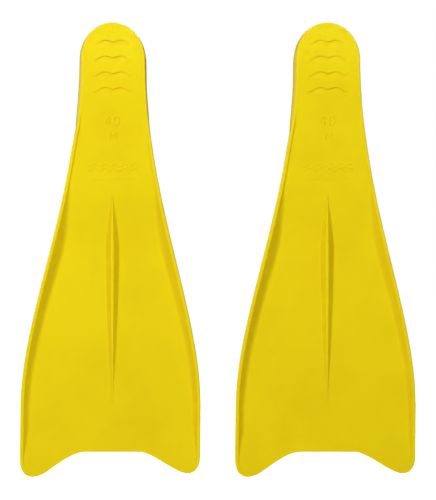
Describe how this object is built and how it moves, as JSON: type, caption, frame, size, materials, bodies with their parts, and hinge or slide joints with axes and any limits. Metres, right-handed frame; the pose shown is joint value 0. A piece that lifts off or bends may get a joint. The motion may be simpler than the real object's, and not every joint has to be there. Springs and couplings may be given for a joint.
{
  "type": "pair of swim fins",
  "caption": "Pair of full-foot rubber swim fins with closed heels, open toes, side rails, a keel under each flared blade and notched tails.",
  "frame": {"origin": "Midpoint between the two heel seats, on the plane of the footbeds. The fins stand upright, heels up, as they are worn by feet that point down.", "axes": "+Z from the tails up to the heels, +X from the left fin to the right fin, +Y from the soles towards the foot pockets"},
  "size_m": [0.4871, 0.0792, 0.5598],
  "materials": {
    "sole_rubber": "smooth moulded yellow rubber, satin",
    "pocket_rubber": "soft moulded yellow rubber, satin",
    "bead_rubber": "smooth yellow rubber, satin",
    "blade_rubber": "firm moulded yellow rubber, satin",
    "rail_rubber": "firm moulded yellow rubber, satin"
  },
  "bodies": {
    "left_foot": {"left_sole": "sole_rubber", "left_heel_cup": "pocket_rubber", "left_instep": "pocket_rubber", "left_topline_bead": "bead_rubber", "left_toe_rim": "bead_rubber", "left_blade_root": "blade_rubber", "left_root_outer_rail": "rail_rubber", "left_root_inner_rail": "rail_rubber", "left_root_keel": "rail_rubber", "left_blade_web": "blade_rubber"},
    "left_blade": {"left_blade_panel": "blade_rubber", "left_blade_outer_rail": "rail_rubber", "left_blade_inner_rail": "rail_rubber", "left_blade_keel": "rail_rubber", "left_blade_rib": "rail_rubber", "left_tail_web": "blade_rubber"},
    "left_tail": {"left_tail_panel": "blade_rubber", "left_tail_outer_rail": "rail_rubber", "left_tail_inner_rail": "rail_rubber", "left_tail_keel": "rail_rubber", "left_tail_rib": "rail_rubber"},
    "right_foot": {"right_sole": "sole_rubber", "right_heel_cup": "pocket_rubber", "right_instep": "pocket_rubber", "right_topline_bead": "bead_rubber", "right_toe_rim": "bead_rubber", "right_blade_root": "blade_rubber", "right_root_outer_rail": "rail_rubber", "right_root_inner_rail": "rail_rubber", "right_root_keel": "rail_rubber", "right_blade_web": "blade_rubber"},
    "right_blade": {"right_blade_panel": "blade_rubber", "right_blade_outer_rail": "rail_rubber", "right_blade_inner_rail": "rail_rubber", "right_blade_keel": "rail_rubber", "right_blade_rib": "rail_rubber", "right_tail_web": "blade_rubber"},
    "right_tail": {"right_tail_panel": "blade_rubber", "right_tail_outer_rail": "rail_rubber", "right_tail_inner_rail": "rail_rubber", "right_tail_keel": "rail_rubber", "right_tail_rib": "rail_rubber"}
  },
  "joints": [
    {"name": "left_blade_flex", "type": "hinge", "parent": "left_foot", "child": "left_blade", "pos_m": [-0.13225, 0.0048, -0.215], "axis": [1, 0, 0], "range_deg": [-25, 25], "stiffness_Nm_per_rad": 6, "deforming": ["left_blade_web"]},
    {"name": "left_tail_flex", "type": "hinge", "parent": "left_blade", "child": "left_tail", "pos_m": [-0.13225, 0.0037, -0.365], "axis": [1, 0, 0], "range_deg": [-20, 20], "stiffness_Nm_per_rad": 2.5, "deforming": ["left_tail_web"]},
    {"name": "right_blade_flex", "type": "hinge", "parent": "right_foot", "child": "right_blade", "pos_m": [0.13225, 0.0048, -0.215], "axis": [1, 0, 0], "range_deg": [-25, 25], "stiffness_Nm_per_rad": 6, "deforming": ["right_blade_web"]},
    {"name": "right_tail_flex", "type": "hinge", "parent": "right_blade", "child": "right_tail", "pos_m": [0.13225, 0.0037, -0.365], "axis": [1, 0, 0], "range_deg": [-20, 20], "stiffness_Nm_per_rad": 2.5, "deforming": ["right_tail_web"]},
    {"name": "right_fin_apart", "type": "slide", "parent": "left_foot", "child": "right_foot", "axis": [1, 0, 0], "range_m": [0, 0.1]}
  ]
}
